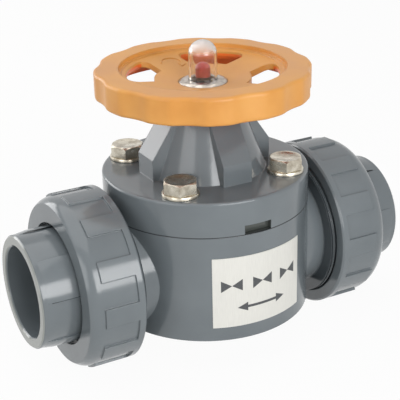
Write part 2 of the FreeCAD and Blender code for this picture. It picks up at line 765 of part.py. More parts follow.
rim = doc.addObject("PartDesign::Body", "rim")
rim_cylinder("AdditiveCylinder", "rimDrum", "rimRadius", "0")
finger = rim_cylinder("SubtractiveCylinder", "fingerHollow", "fingerRadius", "fingerCentre")
rim_hole = drawn(rim, "rimHoleOutline", [
    ("0", "rimBottom"),
    ("channelIn", "rimBottom"),
    ("channelIn", "innerSkirt"),
    ("rimInner", "innerSkirt"),
    ("rimInner", "rimLedge"),
    ("rimLip", "rimLedge"),
    ("rimLip", "rimTop"),
    ("0", "rimTop")])
fingers = repeated(rim, "fingerHollows", finger, rim_hole, "V_Axis", "fingerCount")
rim_sides = rounded(rim, "fingerRounds", fingers, "fingerRound", upright)
rounded(rim, "rimEdges", rim_sides, "rimRound", lambda edge: not upright(edge))
feature(rim, "Groove", "rimHole", rim_hole, "V_Axis")
rim_channel = drawn(rim, "rimChannelOutline", [
    ("channelIn", "rimBottom"),
    ("channelOut", "rimBottom"),
    ("channelOut", "channelTop"),
    ("channelIn", "channelTop")])
feature(rim, "Groove", "rimChannel", rim_channel, "V_Axis")
rim_rib_outline = drawn(rim, "rimRibOutline", [
    ("rimRibIn", "rimRibFoot"),
    ("rimRibOut", "rimRibFoot"),
    ("rimRibOut", "rimRibTop"),
    ("rimRibIn", "rimRibTop")])
rim_rib = feature(rim, "Pad", "rimRib", rim_rib_outline, Length="rimRibWidth")
rim_rib.Midplane = True
repeated(rim, "rimRibs", rim_rib, rim_rib_outline, "V_Axis", "rimRibCount")
place(rim, Rotation(Vector(0, 0, 1), number("fingerTurn")))

web = turned("web", [
    ("0", "hubFoot"),
    ("hubRadius", "hubFoot"),
    ("hubRadius", "hubLow"),
    ("webEdge", "webLow"),
    ("webEdge", "webTop"),
    ("counterbore", "hubTop"),
    ("counterbore", "driveTop"),
    ("0", "driveTop")])


def corner_at(edge, distance):
    """Whether an upright edge stands at a named distance from the spindle."""
    spot = edge.CenterOfMass
    return upright(edge) and abs((spot.x ** 2 + spot.y ** 2) ** 0.5 - number(distance)) < 0.1


def window(turn):
    """Cutter for one window, between two straight spokes and two arcs, its corners rounded."""
    body = doc.addObject("PartDesign::Body", "window")
    sketch = drawn(body, "windowOutline", [
        ("spokeHalf", "windowNear", "windowInner"),
        ("spokeHalf", "windowFar"),
        ("windowFar", "spokeHalf", "-windowOuter"),
        ("windowNear", "spokeHalf")], "XY_Plane")
    prism = feature(body, "Pad", "windowPrism", sketch, Length="rimTop - hubFoot")
    outer = rounded(body, "windowRounds", prism, "windowRound", lambda edge: corner_at(edge, "windowOuter"))
    rounded(body, "windowCorners", outer, "windowCorner", lambda edge: corner_at(edge, "windowInner"))
    return place(body, Rotation(Vector(0, 0, 1), number("wheelTurn") + turn), z="hubFoot")


spokes = cut("spokes", web, *[window(turn) for turn in (0, 90, 180, 270)])
keep(cut("handwheel", fuse("wheelBlock", rim, spokes),
         two_flats("hubDrive", "shankRadius + driveGap", "driveHalf + driveGap", "hubFoot", "driveTop")),
     "handwheel")

slots = [box("hubSlotAlong", "hubSlotFloor", "hubNutRadius", "-hubSlot", "hubSlot", "hubWasherTop",
             "hubNutTop"),
         box("hubSlotBack", "-hubNutRadius", "-hubSlotFloor", "-hubSlot", "hubSlot", "hubWasherTop",
             "hubNutTop"),
         box("hubSlotAcross", "-hubSlot", "hubSlot", "hubSlotFloor", "hubNutRadius", "hubWasherTop",
             "hubNutTop"),
         box("hubSlotFront", "-hubSlot", "hubSlot", "-hubNutRadius", "-hubSlotFloor", "hubWasherTop",
             "hubNutTop")]
keep(cut("hubNut", cylinder("hubNutDisc", "hubNutRadius", "hubWasherTop", "hubNutTop"),
         cylinder("hubNutHole", "hubNutBore", "hubWasherTop", "hubNutTop"), *slots), "hub_nut")
keep(turned("indicatorCap", [
    ("capInner", "hubNutTop"),
    ("capFoot", "hubNutTop"),
    ("capFoot", "capFootTop"),
    ("capRadius", "capFootTop"),
    ("capRadius", "capShoulder"),
    ("0", "capTop", "capRadius"),
    ("0", "capRoof"),
    ("capInner", "capShoulder", "-capInner")]), "indicator_cap")
keep(turned("capRing", [
    ("ringNutHole", "ringSkirt"),
    ("ringRadius", "ringSkirt"),
    ("ringRadius", "ringEdge"),
    ("ringCrown", "ringTop", "ringBend"),
    ("ringHole", "ringTop"),
    ("ringHole", "ringFootTop"),
    ("ringFootHole", "ringFootTop"),
    ("ringFootHole", "hubNutTop"),
    ("ringNutHole", "hubNutTop")]), "cap_ring")

# Union nuts, end connectors and face seals, one set per end


def union_nut(name, turn, grip_turn):
    """Threaded nut with twelve flat grip teeth between shallow pockets."""
    body = turned(name, [
        ("nutInnerFace", "nutMouth"),
        ("nutInnerFace", "nutEdge"),
        ("nutChamferEnd", "nutRadius"),
        ("gripEnd", "nutRadius"),
        ("gripEnd", "gripFloor"),
        ("nutOuterFace", "nutFaceRadius", "-nutBend"),
        ("nutOuterFace", "nutHole"),
        ("nutShoulder", "nutHole"),
        ("nutShoulder", "nutCavity"),
        ("nutBoreEnd", "nutCavity"),
        ("nutBoreEnd", "nutBore"),
        ("nutChamferEnd", "nutBore")], axis="x")
    sketch = drawn(body, name + "GripOutline", [
        ("gripStart", "gripFloor"), ("gripEnd", "gripFloor"), ("gripEnd", "gripClear"),
        ("gripStart", "gripClear")])
    grip = feature(body, "Groove", name + "Grip", sketch, "H_Axis", Angle="gripSpan")
    repeated(body, name + "Grips", grip, sketch, "H_Axis", "gripCount")
    spin = Rotation(Vector(0, 0, 1), turn) * Rotation(Vector(1, 0, 0), grip_turn)
    return place(body, spin, z="axisHeight")


def end_connector(name, turn, pad_turn):
    """Socket end: flange held by the nut, barrel with four pads that fade out, socket for the pipe."""
    body = turned(name, [
        ("collarFace", "boreRadius"),
        ("collarFace", "connectorFlange"),
        ("nutShoulder", "connectorFlange"),
        ("nutShoulder", "connectorRadius"),
        ("chamferStart", "connectorRadius"),
        ("connectorEnd", "chamferRadius"),
        ("connectorEnd", "mouthRadius"),
        ("chamferStart", "socketRadius"),
        ("connectorStop", "socketRadius"),
        ("connectorStop", "boreRadius")], axis="x")
    sketch = drawn(body, name + "PadOutline", [
        ("nutShoulder", "padRoot"), ("padEnd", "padRoot"), ("padFade", "padRadius"),
        ("nutShoulder", "padRadius")])
    pad = feature(body, "Revolution", name + "Pad", sketch, "H_Axis", Angle="padSpan")
    repeated(body, name + "Pads", pad, sketch, "H_Axis", "padCount")
    spin = Rotation(Vector(0, 0, 1), turn) * Rotation(Vector(1, 0, 0), pad_turn)
    return place(body, spin, z="axisHeight")


for end, turn, sign in (("inlet", 180, "-"), ("outlet", 0, "")):
    keep(union_nut(end + "Nut", turn, number(end + "NutTurn")), end + "_union_nut")
    keep(end_connector(end + "Connector", turn, number(end + "EndTurn")), end + "_connector")
    keep(ring(end + "Seal", "ringMiddle", "ringThick", "x", sign + "ringCentre"), end + "_seal")

# Front label

sheet_out = cylinder("labelOut", "labelRadius", "labelLow", "labelHigh")
sheet_in = cylinder("labelIn", "labelSeat", "labelLow", "labelHigh")
for item in (sheet_out, sheet_in):
    bind(item, Angle="labelSpan")
label = cut("frontLabel", sheet_out, sheet_in)
label.Placement = Placement(Vector(), Rotation(Vector(0, 0, 1), number("labelTurn")))
keep(label, "front_label")

doc.recompute()
for item in doc.Objects:
    if "Invalid" in item.State or "Error" in item.State:
        raise RuntimeError(f"{item.Name} failed: {item.State}")
for item in kept:
    if item.Shape.isNull() or not item.Shape.isValid():
        raise RuntimeError(f"{item.Label} has no sound shape")
for item in kept:
    item.Shape.exportStep(f"parts/{item.Label}.step")
    print(item.Label, len(item.Shape.Solids), round(item.Shape.Volume, 1))
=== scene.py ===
import math

import bmesh
import bpy
from mathutils import Matrix, Vector


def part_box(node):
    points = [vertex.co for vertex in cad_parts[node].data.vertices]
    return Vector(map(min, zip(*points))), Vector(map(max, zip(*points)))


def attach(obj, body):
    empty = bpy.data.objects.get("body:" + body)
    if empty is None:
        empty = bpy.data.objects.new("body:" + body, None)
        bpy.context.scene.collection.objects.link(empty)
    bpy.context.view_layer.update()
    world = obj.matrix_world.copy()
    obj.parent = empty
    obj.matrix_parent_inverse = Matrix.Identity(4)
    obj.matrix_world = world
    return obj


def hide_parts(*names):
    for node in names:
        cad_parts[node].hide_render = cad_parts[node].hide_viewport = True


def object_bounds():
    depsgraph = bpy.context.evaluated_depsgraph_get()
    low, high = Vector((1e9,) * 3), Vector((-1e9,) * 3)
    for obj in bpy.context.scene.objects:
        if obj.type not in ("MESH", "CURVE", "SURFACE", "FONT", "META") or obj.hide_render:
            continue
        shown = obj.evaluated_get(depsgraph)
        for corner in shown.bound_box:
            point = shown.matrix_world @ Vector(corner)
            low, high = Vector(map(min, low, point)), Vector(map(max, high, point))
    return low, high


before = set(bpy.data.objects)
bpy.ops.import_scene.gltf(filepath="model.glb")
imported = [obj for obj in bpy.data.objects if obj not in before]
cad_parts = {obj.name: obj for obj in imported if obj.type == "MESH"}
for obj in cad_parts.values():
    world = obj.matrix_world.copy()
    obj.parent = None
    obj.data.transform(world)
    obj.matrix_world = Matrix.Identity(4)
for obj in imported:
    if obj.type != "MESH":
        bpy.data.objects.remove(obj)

# Diaphragm valve with union ends, half open. Metres, Z up along the spindle, X along the flow.
# Sizes in the dictionaries are millimetres and become metres through mm.
mm = 0.001
scene = bpy.context.scene
cadBox = [list(corner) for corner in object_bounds()]
print("frame loaded:", len(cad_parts), "nodes")


def spanOf(node):
    # Lowest and highest corner of a CAD piece, in millimetres
    return [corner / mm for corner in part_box(node)]


# Places that several finishes and pieces share, read from the frame where it has them
bodyLow, bodyHigh = spanOf("valve_body")
bonnetLow, bonnetHigh = spanOf("bonnet")
axisHeight = (bodyLow.z + bodyHigh.z) / 2
collarEnd = bodyHigh.x
splitHeight = bonnetLow.z
drumRadius = bonnetHigh.y
socketEnd = spanOf("outlet_connector")[1].x
capTop = spanOf("indicator_cap")[1].z
padCount = 4
padStart = {"inlet": 11.0, "outlet": 335.5}  # first grip pad of each connector, degrees from the top
wheelWeb = {"hubRadius": 13.5, "hubTop": 128.8, "rise": 0.184}  # the web climbs from the hub to the rim


# Materials

def linear(hexColour):
    # sRGB hex to linear RGBA
    values = [int(hexColour[i:i + 2], 16) / 255 for i in (1, 3, 5)]
    return [v / 12.92 if v <= 0.04045 else ((v + 0.055) / 1.055) ** 2.4 for v in values] + [1]


def plug(tree, socket, value):
    # A socket takes a plain value, another node's output, or the first of its outputs
    if isinstance(value, bpy.types.bpy_prop_collection):
        value = value[0]
    if isinstance(value, bpy.types.NodeSocket):
        tree.links.new(value, socket)
    else:
        socket.default_value = value


def setSockets(tree, node, **values):
    # Sockets by name or identifier, with _ for a space
    for key, value in values.items():
        plug(tree, next(s for s in node.inputs if key in (s.identifier, s.name.replace(" ", "_"))), value)


def add(tree, kind, *inputs, stops=(), **settings):
    # One node: inputs fill its sockets in order, settings are its properties or named sockets,
    # and stops are the colours of its ramp
    node = tree.nodes.new(kind)
    for index, (position, shade) in enumerate(stops):
        elements = node.color_ramp.elements
        element = elements[index] if index < 2 else elements.new(position)
        element.position = position
        element.color = linear(shade)
    for key in [key for key in settings if hasattr(node, key)]:
        setattr(node, key, settings.pop(key))
    for socket, value in zip(node.inputs, inputs):
        plug(tree, socket, value)
    setSockets(tree, node, **settings)
    return node.outputs


def startMaterial(name):
    material = bpy.data.materials.new(name)
    material.use_nodes = True
    tree = material.node_tree
    return material, tree, tree.nodes["Principled BSDF"], add(tree, "ShaderNodeTexCoord")["Object"]


def within(tree, *limits):
    # 1 where every value lies between its low and high limit in millimetres, 0 beyond a short fade.
    # A limit of None is open.
    share = None
    for value, low, high, fade in limits:
        for edge, step in ((low, -fade), (high, fade)):
            if edge is None:
                continue
            inside = add(tree, "ShaderNodeMapRange", value, (edge + step) * mm, edge * mm)
            share = add(tree, "ShaderNodeMath", share, inside, operation="MULTIPLY") if share else inside
    return share


def awayFrom(tree, place, across, centre=(0, 0, 0)):
    # Distance from an axis through centre; across is 1 in the two directions square to it
    offset = add(tree, "ShaderNodeVectorMath", place, [c * mm for c in centre], operation="SUBTRACT")
    flat = add(tree, "ShaderNodeVectorMath", offset, across, operation="MULTIPLY")
    return add(tree, "ShaderNodeVectorMath", flat, operation="LENGTH")["Value"]


def threadWave(tree, along, turn, pitch, depth):
    # Height of a thread's flank at a place along the axis and a turn round it
    phase = add(tree, "ShaderNodeMath", along, 2 * math.pi / (pitch * mm), turn, operation="MULTIPLY_ADD")
    wave = add(tree, "ShaderNodeMath", phase, operation="SINE")
    return add(tree, "ShaderNodeMath", wave, depth * mm, operation="MULTIPLY")


# Three of the darker colours below are painted shade: behind the nuts, in the pry notches and beside the grip
# pads
pvcFinish = {
    "base": "#6B7276", "light": "#70777B", "dark": "#666D71",
    "seamAndPadShadow": "#2E3235", "cutFace": "#8F928E", "greaseAndShade": "#4B5155", "notchShade": "#474B48",
    "roughness": 0.15, "flow": 38, "wipe": 9, "grain": 0.35, "speck": 0.002, "edge": 0.7,
    "collarFrom": 58.8, "collarRadius": 40.2, "pitch": 2.309, "threadDepth": 0.55,
    "flankFrom": 57.8, "flankRadius": 34.0, "seamHalf": 0.22, "notchHeight": 5.2,
    "facedDepth": 0.6, "boreRadius": 25.6, "padFoot": 31.05, "padRadius": 32, "padShort": 5.5,
    "padShadowHalf": 0.28,
}


def mouldedPvc(name, finish, withThread=False, withSeam=False, padTurn=None):
    # Unplasticised PVC from a polished steel mould: satin, faintly mottled, soft edges
    material, tree, shader, place = startMaterial(name)
    x, y, z = add(tree, "ShaderNodeSeparateXYZ", place)
    cloud = add(tree, "ShaderNodeTexNoise", Vector=place, Scale=1 / (finish["flow"] * mm), Detail=3.0)
    colour = add(tree, "ShaderNodeValToRGB", cloud,
                 stops=[(0.3, finish["dark"]), (0.7, finish["light"]), (0.5, finish["base"])])
    wipe = add(tree, "ShaderNodeTexNoise", Vector=place, Scale=1 / (finish["wipe"] * mm), Detail=5.0,
               Roughness=0.7)
    rough = add(tree, "ShaderNodeMapRange", wipe, 0.3, 0.7, finish["roughness"] - 0.02,
                finish["roughness"] + 0.03)
    speck = add(tree, "ShaderNodeTexNoise", Vector=place, Scale=1 / (finish["grain"] * mm), Detail=2.0)
    height = add(tree, "ShaderNodeMath", speck, finish["speck"] * mm, operation="MULTIPLY")
    marks = []
    if withThread or padTurn is not None:
        # Place along, round and away from the flow axis
        along = add(tree, "ShaderNodeMath", x, operation="ABSOLUTE")
        lifted = add(tree, "ShaderNodeMath", z, axisHeight * mm, operation="SUBTRACT")
        turn = add(tree, "ShaderNodeMath", y, lifted, operation="ARCTAN2")
        fromFlow = awayFrom(tree, place, (0, 1, 1), (0, 0, axisHeight))
    if withThread:
        # Pipe thread on the collars, cut as bump because the nuts run on its crests
        collar = within(tree, (along, finish["collarFrom"], collarEnd - 1, 0.6),
                        (fromFlow, finish["collarRadius"], None, 0.01))
        wave = threadWave(tree, x, turn, finish["pitch"], finish["threadDepth"])
        height = add(tree, "ShaderNodeMath", wave, collar, height, operation="MULTIPLY_ADD")
        # Painted shade where the nut shadows the collar and its flank, which also stands for grease and dust
        marks.append((within(tree, (along, finish["flankFrom"], None, 0.01),
                             (fromFlow, finish["flankRadius"], None, 0.01)), finish["greaseAndShade"]))
    if withSeam:
        # Painted shade darkens the two pry notches, and the joint of body and bonnet is a fine dark line
        fromSpindle = awayFrom(tree, place, (1, 1, 0))
        marks.append((within(tree, (z, splitHeight, splitHeight + finish["notchHeight"], 0.05),
                             (fromSpindle, None, drumRadius - 0.4, 0.01)), finish["notchShade"]))
        low, high = (splitHeight + side * finish["seamHalf"] for side in (-1, 1))
        marks.append((within(tree, (z, low, high, 0.2), (fromSpindle, drumRadius - 1, drumRadius + 0.3, 0.1)),
                      finish["seamAndPadShadow"]))
    if padTurn is not None:
        # The faced end of the socket is paler than the moulded skin
        marks.append((within(tree, (along, socketEnd - finish["facedDepth"], None, 0.01),
                             (fromFlow, finish["boreRadius"], None, 0.01)), finish["cutFace"]))
        # Painted shadow: a dark line in the corner along one side of each grip pad, the side whose wall is in
        # shade
        half = math.pi / padCount
        offSide = add(tree, "ShaderNodeMath", turn, math.radians(padTurn), operation="SUBTRACT")
        offSide = add(tree, "ShaderNodeMath", offSide, half, -half, operation="WRAP")
        arc = add(tree, "ShaderNodeMath", offSide, finish["padRadius"] * mm, operation="MULTIPLY")
        marks.append((within(tree, (arc, -finish["padShadowHalf"], finish["padShadowHalf"], 0.01),
                             (fromFlow, finish["padFoot"], None, 0.01),
                             (along, None, socketEnd - finish["padShort"], 0.01)), finish["seamAndPadShadow"]))
    for share, shade in marks:
        colour = add(tree, "ShaderNodeMix", share, A_Color=colour, B_Color=linear(shade), data_type="RGBA")[2]
    soft = add(tree, "ShaderNodeBevel", finish["edge"] * mm, samples=6)
    bump = add(tree, "ShaderNodeBump", Distance=1.0, Strength=1.0, Height=height, Normal=soft)
    setSockets(tree, shader, Base_Color=colour, Roughness=rough, Normal=bump, IOR=1.53)
    return material


# The redder colour for the inside of the rim is painted shade and glow
wheelFinish = {
    "base": "#D99848", "light": "#DEA052", "dark": "#D08D3D", "inner": "#EC7028",
    "roughness": 0.38, "flow": 30, "peel": 2.4, "peelHeight": 0.03, "edge": 1.1,
    "innerFrom": 41.0, "innerRadius": 56.6, "webDepth": 1.5, "glow": 0.06, "glowReach": (3, 1.5, 0.5),
}


def mouldedNylon(name, finish):
    # Orange glass-filled nylon: bright, satin, with a faint orange-peel ripple
    material, tree, shader, place = startMaterial(name)
    cloud = add(tree, "ShaderNodeTexNoise", Vector=place, Scale=1 / (finish["flow"] * mm), Detail=4.0)
    colour = add(tree, "ShaderNodeValToRGB", cloud,
                 stops=[(0.3, finish["dark"]), (0.7, finish["light"]), (0.5, finish["base"])])
    # Painted shade and glow: the inside of the rim, below the web, is coloured redder, standing for shade and
    # for light that has passed through the plastic
    height = add(tree, "ShaderNodeSeparateXYZ", place)["Z"]
    away = awayFrom(tree, place, (1, 1, 0))
    webFoot = wheelWeb["hubTop"] - wheelWeb["hubRadius"] * wheelWeb["rise"]
    webTop = add(tree, "ShaderNodeMath", away, wheelWeb["rise"], webFoot * mm, operation="MULTIPLY_ADD")
    depth = add(tree, "ShaderNodeMath", webTop, height, operation="SUBTRACT")
    paintedInsideShade = within(tree, (away, finish["innerFrom"], finish["innerRadius"], 0.3),
                  (depth, finish["webDepth"], None, 0.01))
    colour = add(tree, "ShaderNodeMix", paintedInsideShade, A_Color=colour, B_Color=linear(finish["inner"]),
                 data_type="RGBA")[2]
    peel = add(tree, "ShaderNodeTexNoise", Vector=place, Scale=1 / (finish["peel"] * mm), Detail=2.0)
    rough = add(tree, "ShaderNodeMapRange", cloud, 0.3, 0.7, finish["roughness"] - 0.04,
                finish["roughness"] + 0.08)
    soft = add(tree, "ShaderNodeBevel", finish["edge"] * mm, samples=6)
    bump = add(tree, "ShaderNodeBump", Distance=finish["peelHeight"] * mm, Strength=0.8, Height=peel,
               Normal=soft)
    setSockets(tree, shader, Base_Color=colour, Roughness=rough, Normal=bump, IOR=1.53,
               Subsurface_Weight=finish["glow"], Subsurface_Radius=[r * mm for r in finish["glowReach"]])
    return material


metalFinish = {
    "stainlessHead": {"base": "#D3CDBE", "stain": "#A69D8D", "roughness": 0.28, "grain": 0.5, "edge": 0.15},
    "brightChrome": {"base": "#BAB2A9", "stain": "#90867C", "roughness": 0.2, "grain": 0.8},
    "oiledSteel": {"base": "#5E5A55", "stain": "#403C38", "roughness": 0.24, "grain": 0.5},
    "groundSteel": {"base": "#BEBDBA", "stain": "#9B9994", "roughness": 0.25, "grain": 0.4},
    "stemSteel": {"base": "#B4B3AF", "stain": "#8F8D88", "roughness": 0.3, "grain": 0.4, "pitch": 4,
                  "blackAbove": 121, "black": "#34302D"},
    "turnedBrass": {"base": "#C9A868", "stain": "#A07F44", "roughness": 0.28, "grain": 0.4},
}


def machinedMetal(name, finish):
    # Turned or forged metal: fine tool lines, darker stains, bright edges. The stem also has its thread,
    # as bump, and is near-black above the bush.
    material, tree, shader, place = startMaterial(name)
    stretch = add(tree, "ShaderNodeMapping", place, Scale=(1, 1, 14))
    lines = add(tree, "ShaderNodeTexNoise", Vector=stretch, Scale=1 / (finish["grain"] * mm), Detail=3.0)
    patches = add(tree, "ShaderNodeTexNoise", Vector=place, Scale=1 / (5 * mm), Detail=6.0, Roughness=0.65)
    colour = add(tree, "ShaderNodeValToRGB", patches, stops=[(0.38, finish["stain"]), (0.6, finish["base"])])
    rough = add(tree, "ShaderNodeMapRange", patches, 0.3, 0.7, finish["roughness"] + 0.1,
                finish["roughness"] - 0.06)
    height = add(tree, "ShaderNodeMath", lines, 0.006 * mm, operation="MULTIPLY")
    if "pitch" in finish:
        x, y, z = add(tree, "ShaderNodeSeparateXYZ", place)
        black = within(tree, (z, finish["blackAbove"], None, 0.01))
        colour = add(tree, "ShaderNodeMix", black, A_Color=colour, B_Color=linear(finish["black"]),
                     data_type="RGBA")[2]
        turn = add(tree, "ShaderNodeMath", y, x, operation="ARCTAN2")
        wave = threadWave(tree, z, turn, finish["pitch"], finish["pitch"] * 0.22)
        height = add(tree, "ShaderNodeMath", height, wave, operation="ADD")
    soft = add(tree, "ShaderNodeBevel", finish.get("edge", 0.25) * mm, samples=6)
    bump = add(tree, "ShaderNodeBump", Distance=1.0, Strength=0.8, Height=height, Normal=soft)
    setSockets(tree, shader, Base_Color=colour, Roughness=rough, Normal=bump, Metallic=1)
    return material


rubberFinish = {"base": "#161718", "light": "#2B2C2C", "roughness": 0.62, "bloom": 6, "grain": 0.5}


def mouldedRubber(name, finish):
    # Black EPDM: matt, with a dusty bloom
    material, tree, shader, place = startMaterial(name)
    bloom = add(tree, "ShaderNodeTexNoise", Vector=place, Scale=1 / (finish["bloom"] * mm), Detail=6.0)
    colour = add(tree, "ShaderNodeValToRGB", bloom, stops=[(0.35, finish["base"]), (0.75, finish["light"])])
    fine = add(tree, "ShaderNodeTexNoise", Vector=place, Scale=1 / (finish["grain"] * mm), Detail=2.0)
    bump = add(tree, "ShaderNodeBump", Distance=0.02 * mm, Strength=1.0, Height=fine)
    setSockets(tree, shader, Base_Color=colour, Roughness=finish["roughness"], Normal=bump)
    return material


plasticFinish = {
    "redPlastic": {"base": "#94231B", "light": "#A52C22", "roughness": 0.3, "grain": 0.6},
    "whiteSlidePlastic": {"base": "#DAD8D0", "light": "#E6E4DD", "roughness": 0.45, "grain": 0.8},
    "blackFilledNylon": {"base": "#1E1F21", "light": "#2C2D2F", "roughness": 0.5, "grain": 0.5},
}


def tintedPlastic(name, finish):
    # Small plain mouldings, satin and slightly cloudy: red tip, white washers, black compressor
    material, tree, shader, place = startMaterial(name)
    cloud = add(tree, "ShaderNodeTexNoise", Vector=place, Scale=1 / (4 * mm), Detail=3.0)
    colour = add(tree, "ShaderNodeValToRGB", cloud, stops=[(0.3, finish["base"]), (0.7, finish["light"])])
    fine = add(tree, "ShaderNodeTexNoise", Vector=place, Scale=1 / (finish["grain"] * mm), Detail=2.0)
    soft = add(tree, "ShaderNodeBevel", 0.3 * mm, samples=4)
    bump = add(tree, "ShaderNodeBump", Distance=0.015 * mm, Strength=1.0, Height=fine, Normal=soft)
    setSockets(tree, shader, Base_Color=colour, Roughness=finish["roughness"], Normal=bump)
    return material


capFinish = {"clearTo": capTop - 8, "hazeFrom": capTop - 3, "clear": 0.05, "haze": 0.45, "ripple": 9,
             "through": 0.98}


def clearPlastic(name, finish):
    # Clear polycarbonate: glassy, with a faint ripple from the mould and scuffed to a haze at its crown
    material, tree, shader, place = startMaterial(name)
    ripple = add(tree, "ShaderNodeTexNoise", Vector=place, Scale=1 / (finish["ripple"] * mm), Detail=1.0)
    bump = add(tree, "ShaderNodeBump", Distance=0.01 * mm, Strength=0.5, Height=ripple)
    height = add(tree, "ShaderNodeSeparateXYZ", place)["Z"]
    haze = add(tree, "ShaderNodeMapRange", height, finish["clearTo"] * mm, finish["hazeFrom"] * mm,
               finish["clear"], finish["haze"])
    setSockets(tree, shader, Base_Color=linear("#FEFEFE"), Roughness=haze, Normal=bump,
               Transmission_Weight=finish["through"], IOR=1.5)
    return material


foilFinish = {"base": "#D9D8D2", "light": "#E0DFD9", "brush": 0.35, "stretch": 0.06, "metallic": 0.35,
              "roughness": 0.36}


def printedFoil(name, finish):
    # Silver-white label foil: satin, with upright brushing drawn coarser than the real lines
    material, tree, shader, place = startMaterial(name)
    stretch = add(tree, "ShaderNodeMapping", place, Scale=(1, 1, finish["stretch"]))
    brush = add(tree, "ShaderNodeTexNoise", Vector=stretch, Scale=1 / (finish["brush"] * mm), Detail=3.0)
    colour = add(tree, "ShaderNodeValToRGB", brush, stops=[(0.3, finish["base"]), (0.7, finish["light"])])
    bump = add(tree, "ShaderNodeBump", Distance=0.01 * mm, Strength=0.6, Height=brush)
    setSockets(tree, shader, Base_Color=colour, Normal=bump, Metallic=finish["metallic"],
               Roughness=finish["roughness"])
    return material


inkFinish = {"base": "#3F4143", "thin": "#57595B", "cover": 0.8, "roughness": 0.6}


def printingInk(name, finish):
    # Screen-printed ink: matt dark grey, slightly uneven cover
    material, tree, shader, place = startMaterial(name)
    cover = add(tree, "ShaderNodeTexNoise", Vector=place, Scale=1 / (finish["cover"] * mm), Detail=4.0)
    colour = add(tree, "ShaderNodeValToRGB", cover, stops=[(0.25, finish["base"]), (0.85, finish["thin"])])
    setSockets(tree, shader, Base_Color=colour, Roughness=finish["roughness"])
    return material


greyPvc = mouldedPvc("greyPvcMoulding", pvcFinish)
bodyPvc = mouldedPvc("greyPvcBody", pvcFinish, withThread=True, withSeam=True)
bonnetPvc = mouldedPvc("greyPvcBonnet", pvcFinish, withSeam=True)
endPvc = {end: mouldedPvc(end + "PvcSocket", {**pvcFinish, "edge": 0.3}, padTurn=turn)
          for end, turn in padStart.items()}
orangeNylon = mouldedNylon("orangeNylon", wheelFinish)
markNylon = mouldedNylon("orangeNylonMark", {**wheelFinish, "edge": 0.12})
metals = {name: machinedMetal(name, finish) for name, finish in metalFinish.items()}
plastics = {name: tintedPlastic(name, finish) for name, finish in plasticFinish.items()}
rubber = mouldedRubber("blackRubber", rubberFinish)
clear = clearPlastic("clearPolycarbonate", capFinish)
foil = printedFoil("labelFoil", foilFinish)
ink = printingInk("labelInk", inkFinish)
stainless = metals["stainlessHead"]

nodeFinish = {
    "valve_body": bodyPvc, "bonnet": bonnetPvc, "inlet_union_nut": greyPvc, "outlet_union_nut": greyPvc,
    "inlet_connector": endPvc["inlet"], "outlet_connector": endPvc["outlet"],
    "handwheel": orangeNylon, "cap_ring": metals["brightChrome"], "hub_nut": metals["oiledSteel"],
    "indicator_cap": clear, "indicator_tip": plastics["redPlastic"], "front_label": foil,
    "stem": metals["stemSteel"], "stem_pin": metals["groundSteel"], "diaphragm_stud": metals["groundSteel"],
    "hub_washer": metals["groundSteel"], "stem_nut": metals["turnedBrass"],
    "bracket_inserts": metals["turnedBrass"], "base_washers": stainless, "bolt_nuts": stainless,
    "diaphragm": rubber, "bush_seal": rubber, "inlet_seal": rubber, "outlet_seal": rubber,
    "thrust_washer": plastics["whiteSlidePlastic"], "slide_washer": plastics["whiteSlidePlastic"],
    "compressor": plastics["blackFilledNylon"],
}
for nodeName, material in nodeFinish.items():
    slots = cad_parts[nodeName].data.materials
    slots.clear()
    slots.append(material)
print("materials on", len(nodeFinish), "nodes")


# Meshes

def bridge(work, lower, upper):
    # A band of faces between two closed rows of vertices
    count = len(lower)
    for i in range(count):
        work.faces.new((lower[i], lower[(i + 1) % count], upper[(i + 1) % count], upper[i]))


def closeBands(work, rows):
    # Bands from row to row, and a face over the first and the last
    for lower, upper in zip(rows, rows[1:]):
        bridge(work, lower, upper)
    work.faces.new(rows[0])
    work.faces.new(rows[-1])


def meshFrom(work, name, smoothAngle=0):
    # Faces turned outwards; flat faces stay flat, and edges below smoothAngle shade round
    bmesh.ops.recalc_face_normals(work, faces=work.faces)
    work.normal_update()
    for face in work.faces:
        face.smooth = smoothAngle > 0
    for edge in work.edges:
        edge.smooth = len(edge.link_faces) == 2 and edge.calc_face_angle(0) < math.radians(smoothAngle)
    mesh = bpy.data.meshes.new(name)
    work.to_mesh(mesh)
    work.free()
    return mesh


def meshPiece(name, mesh, material, body, replaced=()):
    piece = bpy.data.objects.new(name, mesh)
    scene.collection.objects.link(piece)
    mesh.materials.clear()
    mesh.materials.append(material)
    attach(piece, body)
    if replaced:
        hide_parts(*replaced)
    return piece


# Bolts and washers

boltLow, boltHigh = spanOf("bonnet_bolts")
washerLow, washerHigh = spanOf("bolt_washers")
bolt = {
    "end": boltLow.z, "taper": 0.8, "root": 4.25, "radius": 5.0, "threadTop": 40.0,
    "foot": washerHigh.z, "top": boltHigh.z, "flats": 17.0, "corner": 0.15, "land": 8.3, "chamferTurn": 30,
    "dishRadius": 6.6, "dishEdge": 0.7, "dishDepth": 0.35, "middle": 0.6, "sides": 72, "turn": 2.0,
    "thread": {"radius": 4.35, "depth": 0.6, "pitch": 1.5, "length": 34.0, "start": 4.2},
}
washer = {"inner": 5.3, "outer": 10.0, "low": washerLow.z, "high": washerHigh.z, "roundness": 0.7,
          "sides": 64, "turn": 180}


def hexRadius(angle, flats):
    # Distance to a hexagon's side at an angle, corners at 0, 60, 120 degrees
    local = (angle + math.pi / 6) % (math.pi / 3) - math.pi / 6
    return flats / 2 / math.cos(math.pi / 6 - abs(local))


